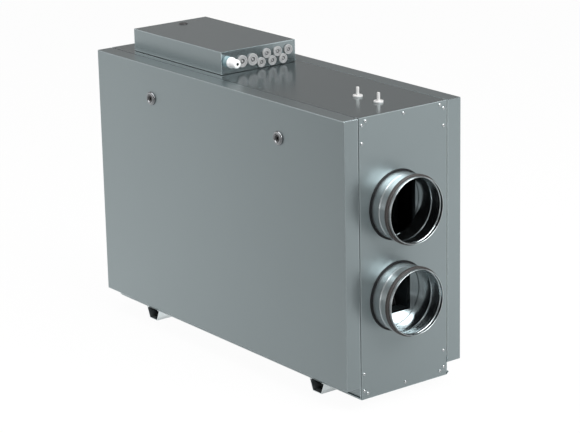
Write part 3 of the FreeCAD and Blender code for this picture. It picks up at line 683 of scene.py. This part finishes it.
# %% Lock rings
door_face = -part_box("front_door_skin")[0].y
core_low, core_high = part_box("front_left_lock_core")
lock_middle = (core_low.z + core_high.z) / 2
LOCK_X = 0.260
BARREL_END = -40.3
BARREL_BORE, BARREL_RADIUS = 8.35, 10.9
ring_line = [(0.0, BARREL_RADIUS), (0.0, 17.0), (0.6, 17.0), *arc(0.6, 12.1, 4.9, 88, 8, 10), (5.4, 11.4),
             (5.0, 10.9), (3.6, 10.4), (3.0, 10.0), (3.0, BARREL_BORE), (BARREL_END, BARREL_BORE),
             (BARREL_END, BARREL_RADIUS), (0.0, BARREL_RADIUS)]
rings = [turned("ring", ring_line, (x, -door_face, lock_middle), (0, -1, 0), (0, 0, 1), 64)
         for x in (-LOCK_X, LOCK_X)]
front_rings = joined(rings, "front_lock_rings")
smooth(front_rings)
rear_rings = moved_copy(front_rings, "rear_lock_rings", mirror=(1, -1, 1))
done(front_rings, "front_door", "chrome", ["front_lock_housings"])
done(rear_rings, "rear_door", "chrome", ["rear_lock_housings"])

# %% [markdown]
# ## Cable glands
# Eight of the glands are flat: a low round head with a ring groove and a mouth, and deep in the mouth a
# dark skin with a blunt cone that a cable pushes through. One small and one large gland are modelled and
# copied to their places. The ninth, white and much longer, has a fluted nut ring. The flutes are made
# after the spin: every third face of the ring is picked by its angle, inset on its own and pressed in.

# %% Helper for fluted nuts
FLUTE_RIM = 0.2


def flutes(piece, centre, first, last, every=3, depth=0.5):
    """Press every nth face of a band of an X-turned piece inwards."""
    only(piece)
    centre = Vector(centre)
    bpy.ops.object.mode_set(mode="EDIT")
    bpy.ops.mesh.select_mode(type="FACE")
    bpy.ops.mesh.select_all(action="DESELECT")
    bpy.ops.object.mode_set(mode="OBJECT")
    band = [face for face in piece.data.polygons
            if first * MM < face.center.x - centre.x < last * MM and abs(face.normal.x) < 0.2
            and face.normal.dot(face.center - centre) > 0]
    band.sort(key=lambda face: math.atan2(face.center.z - centre.z, face.center.y - centre.y))
    for number, face in enumerate(band):
        face.select = number % every == 0
    bpy.ops.object.mode_set(mode="EDIT")
    bpy.ops.mesh.inset(thickness=FLUTE_RIM * MM, depth=-depth * MM, use_individual=True)
    nothing_selected()


# %% Sections of the small and large glands
GLAND_HEAD = 5.0
SMALL_RADIUS = 12.4
LARGE_RADIUS = 15.0
RING_SHARE, MOUTH_SHARE = 0.66, 0.42
gland_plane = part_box("control_box_base")[1].x
top_of_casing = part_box("top_panel")[1].z


def gland_line(radius):
    """Half section of a flat gland without its skin."""
    ring, mouth = radius * RING_SHARE, radius * MOUTH_SHARE
    return [(-8.0, mouth), (-8.0, radius * 0.8), (0.0, radius * 0.8), (0.0, radius - 0.4), (0.3, radius - 0.1),
            *arc(GLAND_HEAD - 1.3, radius - 1.3, 1.3, 88, 2, 6), (GLAND_HEAD, ring + 1.0),
            (GLAND_HEAD - 1.3, ring + 0.9), (GLAND_HEAD - 1.3, ring - 0.3), (GLAND_HEAD - 0.1, ring - 0.4),
            (GLAND_HEAD - 0.1, mouth + 0.4), (GLAND_HEAD - 0.5, mouth), (-8.0, mouth)]


def skin_line(radius):
    """Half section of the soft skin, deep in the mouth."""
    mouth = radius * MOUTH_SHARE - 0.05
    return [(-1.0, 0.0), (-1.0, mouth), (GLAND_HEAD - 3.4, mouth), (GLAND_HEAD - 3.6, mouth * 0.6),
            (GLAND_HEAD - 3.6, 0.0)]


def nub_line(radius):
    """Half section of the blunt cone that stands on the skin."""
    foot = radius * MOUTH_SHARE * 0.52
    return [(0.0, 0.0), (0.0, foot), (GLAND_HEAD - 3.4, foot), (GLAND_HEAD - 1.4, foot * 0.8),
            (GLAND_HEAD - 1.0, foot * 0.55), (GLAND_HEAD - 1.0, 0.0)]


def gland(name, centre, radius):
    """One flat gland with its skin and cone."""
    body = turned(name, gland_line(radius), centre, (1, 0, 0), (0, 0, 1), 48)
    dress(body, "grey plastic")
    skin = turned("skin", skin_line(radius), centre, (1, 0, 0), (0, 0, 1), 32)
    dress(skin, "grey insert")
    nub = turned("nub", nub_line(radius), centre, (1, 0, 0), (0, 0, 1), 24)
    dress(nub, "grey plastic")
    whole = joined([body, skin, nub], name)
    smooth(whole, 30)
    return whole


# %% [markdown]
# ### Places of the glands
# The six small glands stand in two rows, and the upper row is shifted by half a step. Each place is given as
# the distance along the end plate and the height above the casing.

# %% Small and large glands in their places
FIRST_ALONG, FIRST_RISE = 10.0, 15.2
STEP_ALONG, ROW_RISE = 33.2, 20.0
small_places = [(FIRST_ALONG + STEP_ALONG * (step + row / 2), FIRST_RISE + ROW_RISE * row)
                for row in (0, 1) for step in range(3)]
large_places = [(-47.6, 26.2), (-16.1, 26.2)]
for kind, places, radius in (("small", small_places, SMALL_RADIUS), ("large", large_places, LARGE_RADIUS)):
    y, rise = places[0]
    start = Vector((gland_plane, y * MM, top_of_casing + rise * MM))
    pieces = [gland(kind + "_gland", start, radius)]
    for y, rise in places[1:]:
        shift = Vector((gland_plane, y * MM, top_of_casing + rise * MM)) - start
        pieces.append(moved_copy(pieces[0], kind + "_gland", shift))
    done(joined(pieces, kind + "_cable_glands"), "casing", "grey plastic", [kind + "_glands"])

# %% [markdown]
# ## White gland
# The long gland has a pale blue collar and neck against the box, then a glossy white nut ring and body
# that ends in a rounded nose with a dark hole. The collar's pale blue is painted shade and a painted
# reflection of the teal sheet on white plastic. Collar and body are two outlines on one axis.

# %% White gland
white_low, white_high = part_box("white_gland")
white_centre = Vector((gland_plane, (white_low.y + white_high.y) / 2, (white_low.z + white_high.z) / 2))
collar_line = [(-8.0, 3.6), (-8.0, 10.6), (0.0, 10.6), (0.0, 12.8), (0.5, 13.3), (6.4, 13.3),
               *arc(6.4, 12.7, 0.6, 88, 2, 3), (7.4, 12.1), (8.4, 11.9), (16.9, 11.9), (16.9, 3.6), (-8.0, 3.6)]
nut_line = [(16.9, 3.6), (16.9, 12.6), (17.5, 13.2), (22.4, 13.2), (23.2, 12.8), (23.8, 11.7), (40.8, 11.0),
            *arc(41.0, 6.3, 4.7, 88, 4, 8), (45.8, 4.6), (45.6, 3.9), (45.0, 3.6), (16.9, 3.6)]
core_line = [(30.0, 0.0), (30.0, 3.55), (44.9, 3.55), (44.6, 2.6), (44.4, 0.0)]
collar = turned("collar", collar_line, white_centre, (1, 0, 0), (0, 0, 1), 48)
# Pale blue here is painted shade and painted reflection on the white collar.
dress(collar, "collar painted shade")
nut = turned("nut", nut_line, white_centre, (1, 0, 0), (0, 0, 1), 48)
flutes(nut, white_centre, 17.6, 22.3, depth=0.4)
dress(nut, "white plastic")
core = turned("core", core_line, white_centre, (1, 0, 0), (0, 0, 1), 24)
dress(core, "black rubber")
white = joined([nut, collar, core], "white_cable_gland")
smooth(white, 30)
done(white, "casing", "white plastic", ["white_gland"])

# %% [markdown]
# ## Painted shadow line at the foot of the control box
# A thin black strip along the joint between the control box and the top panel paints the shadow line there.
# It is a flat frame: a plane a little larger than the box is inset, loses its middle and is pulled up.

# %% Foot shadow strip
STRIP_OUT = 0.2
STRIP_WIDE = 3.0
STRIP_TALL = 1.1
base_low, base_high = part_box("control_box_base")
nothing_selected()
box_middle = (base_low + base_high) / 2
bpy.ops.mesh.primitive_plane_add(size=1, location=(box_middle.x, box_middle.y, top_of_casing))
strip = bpy.context.object
strip.name = strip.data.name = "box_foot_shadow_strip"
bpy.ops.object.mode_set(mode="EDIT")
bpy.ops.mesh.select_mode(type="FACE")
bpy.ops.mesh.select_all(action="SELECT")
bpy.ops.transform.resize(value=(base_high.x - base_low.x + 2 * STRIP_OUT * MM,
                                base_high.y - base_low.y + 2 * STRIP_OUT * MM, 1),
                         center_override=strip.location)
bpy.ops.mesh.inset(thickness=STRIP_WIDE * MM)
bpy.ops.mesh.delete(type="FACE")
bpy.ops.mesh.select_all(action="SELECT")
bpy.ops.mesh.extrude_region_move(TRANSFORM_OT_translate={"value": (0, 0, STRIP_TALL * MM)})
bpy.ops.mesh.select_all(action="SELECT")
bpy.ops.mesh.normals_make_consistent(inside=False)
nothing_selected()
only(strip)
bpy.ops.object.transform_apply(location=True)
# Painted shade: a black strip along the foot of the box.
done(strip, "casing", "black rubber")

# %% [markdown]
# ## Pressure nipples and lid plug
# Two plastic nipples take the hoses of a pressure gauge: a rounded foot and a slim stem with a bore. The
# flat black plug closes a spare hole in the lid.

# %% Pressure nipples
NIPPLE_X = (337.5, 412.5)
nipple_line = [(0.0, 0.0), (0.0, 11.2), (0.8, 11.6), (2.4, 11.7), *arc(2.4, 9.5, 2.2, 85, 10, 7), (4.3, 8.0),
               (3.9, 6.4), (4.1, 5.0), (5.2, 4.0), (6.6, 3.75), (21.9, 3.75), *arc(21.9, 2.65, 1.1, 90, 10, 4),
               (22.9, 2.0), (22.4, 1.7), (9.0, 1.7), (8.6, 0.0)]
stems = [turned("nipple", nipple_line, (x * MM, 0, top_of_casing), (0, 0, 1), (1, 0, 0), 40) for x in NIPPLE_X]
nipples = joined(stems, "hose_nipples")
smooth(nipples)
done(nipples, "casing", "nipple plastic", ["pressure_nipples"])

# %% Lid plug
plug_low, plug_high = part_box("lid_plug")
lid_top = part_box("control_box_lid")[1].z
plug_centre = ((plug_low.x + plug_high.x) / 2, (plug_low.y + plug_high.y) / 2, lid_top)
plug_line = [(-3.0, 0.0), (-3.0, 8.9), (0.0, 8.9), (0.0, 11.3), (0.6, 11.3),
             (1.2, 10.8), (1.45, 9.8), (1.3, 8.4), (1.15, 4.0), (1.1, 0.0)]
plug = turned("lid_blanking_plug", plug_line, plug_centre, (0, 0, 1), (1, 0, 0), 48)
smooth(plug, 60)
done(plug, "casing", "black plastic", ["lid_plug"])

# %% [markdown]
# ## Panel screws
# Fourteen bright pan-head screws hold each end panel to its corner posts and to the top and base sheets.
# The head is a short cylinder whose outer rim is bevelled into a dome. Only the outer face may be selected
# for that: a new cylinder is selected all over, and a bevel of every edge would ruin it. Then two small
# blocks cut the cross recess. One screw is modelled and copied to each place.

# %% Panel screws
HEAD_RADIUS = 3.9
HEAD_HEIGHT = 2.3
DOME = 1.9
BLADE_DEEP, BLADE_THICK, BLADE_LONG = 3.0, 1.2, 4.4
SCREWS = ((-122.2, 680.8), (-111.4, 689.1), (-122.3, 639.0), (-0.4, 689.3), (108.6, 689.8), (119.3, 681.3),
          (119.7, 639.7), (-122.2, 92.0), (-121.6, 50.5), (-111.4, 42.6), (1.7, 42.3), (108.7, 43.4),
          (120.0, 51.5), (119.5, 93.1))


def cross_screw(y, z):
    """One pan-head screw on the right end panel."""
    nothing_selected()
    bpy.ops.mesh.primitive_cylinder_add(vertices=24, radius=HEAD_RADIUS * MM, depth=HEAD_HEIGHT * MM,
                                        location=(root + HEAD_HEIGHT / 2 * MM, y * MM, z * MM),
                                        rotation=(0, math.radians(90), 0))
    head = bpy.context.object
    bpy.ops.object.transform_apply(location=True, rotation=True)
    bpy.ops.object.mode_set(mode="EDIT")
    bpy.ops.mesh.select_mode(type="FACE")
    bpy.ops.mesh.select_all(action="DESELECT")
    bpy.ops.object.mode_set(mode="OBJECT")
    max(head.data.polygons, key=lambda face: face.center.x).select = True
    bpy.ops.object.mode_set(mode="EDIT")
    bpy.ops.mesh.bevel(offset=DOME * MM, segments=5, profile=0.5)
    nothing_selected()
    blades = []
    for wide, tall in ((BLADE_THICK, BLADE_LONG), (BLADE_LONG, BLADE_THICK)):
        nothing_selected()
        bpy.ops.mesh.primitive_cube_add(size=1, location=(root + HEAD_HEIGHT * MM, y * MM, z * MM),
                                        scale=(BLADE_DEEP * MM, wide * MM, tall * MM))
        bpy.ops.object.transform_apply(location=True, scale=True)
        blades.append(bpy.context.object)
    for blade in blades:
        only(head)
        cut = head.modifiers.new("recess", "BOOLEAN")
        cut.operation = "DIFFERENCE"
        cut.solver = "EXACT"
        cut.object = blade
        bpy.ops.object.modifier_apply(modifier=cut.name)
        bpy.data.objects.remove(blade)
    return head


first = cross_screw(*SCREWS[0])
screws = [first]
for y, z in SCREWS[1:]:
    screws.append(moved_copy(first, "screw", (0, (y - SCREWS[0][0]) * MM, (z - SCREWS[0][1]) * MM)))
right_screws = joined(screws, "right_panel_screws")
smooth(right_screws, 30)
left_screws = moved_copy(right_screws, "left_panel_screws", mirror=(-1, 1, 1))
for piece in (right_screws, left_screws):
    done(piece, "casing", "screw zinc")
